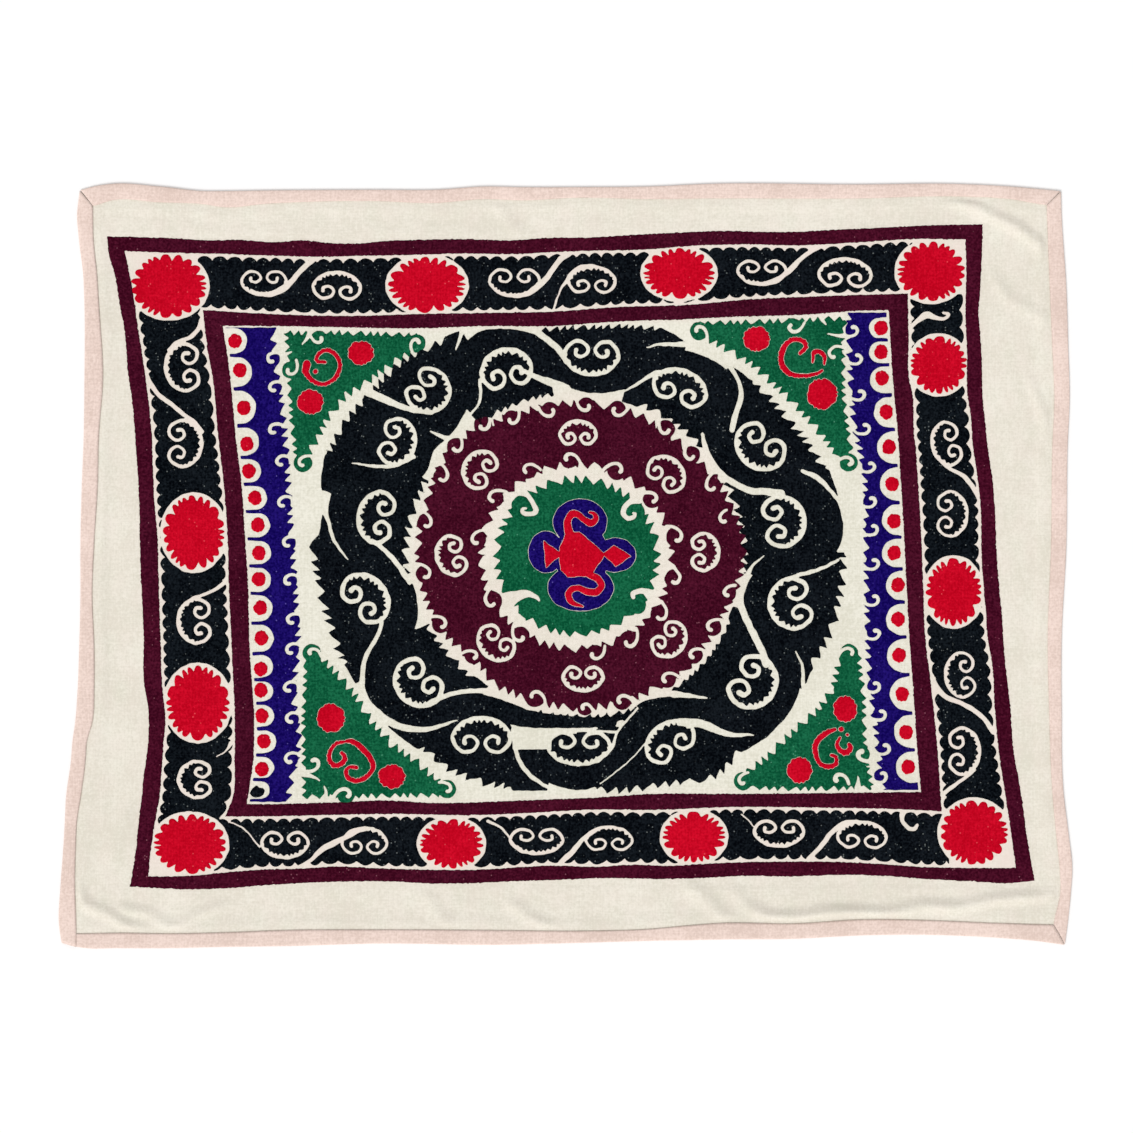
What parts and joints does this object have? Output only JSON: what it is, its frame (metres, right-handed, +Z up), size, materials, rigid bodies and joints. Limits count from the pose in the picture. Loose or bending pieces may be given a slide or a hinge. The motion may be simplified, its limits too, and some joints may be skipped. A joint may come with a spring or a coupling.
{
  "type": "suzani embroidered textile",
  "caption": "Embroidered cotton cover or wall cloth laid flat, with a ring medallion, corner sprays, a scroll border and folded pink binding on its edges.",
  "frame": {"origin": "on the surface that the cloth lies on, under the middle of its outline", "axes": "+X along the long sides, to the right of the pattern; +Y along the short sides, to its top; +Z up, out of the embroidered face"},
  "size_m": [1.5195, 1.1472, 0.008],
  "materials": {
    "ground_cotton": "plain-woven cream cotton, soft and matt",
    "binding_cotton": "pale pink bias-cut cotton, matt",
    "maroon_thread": "dense laid stitching in dark maroon cotton thread",
    "black_thread": "dense laid stitching in black cotton thread, with pale flecks",
    "red_thread": "dense laid stitching in bright red cotton thread",
    "blue_thread": "dense laid stitching in violet blue cotton thread",
    "green_thread": "dense laid stitching in green cotton thread"
  },
  "bodies": {
    "root": {"ground_cloth": "ground_cotton", "binding_top": "binding_cotton", "binding_bottom": "binding_cotton", "binding_left": "binding_cotton", "binding_right": "binding_cotton"}
  },
  "joints": []
}
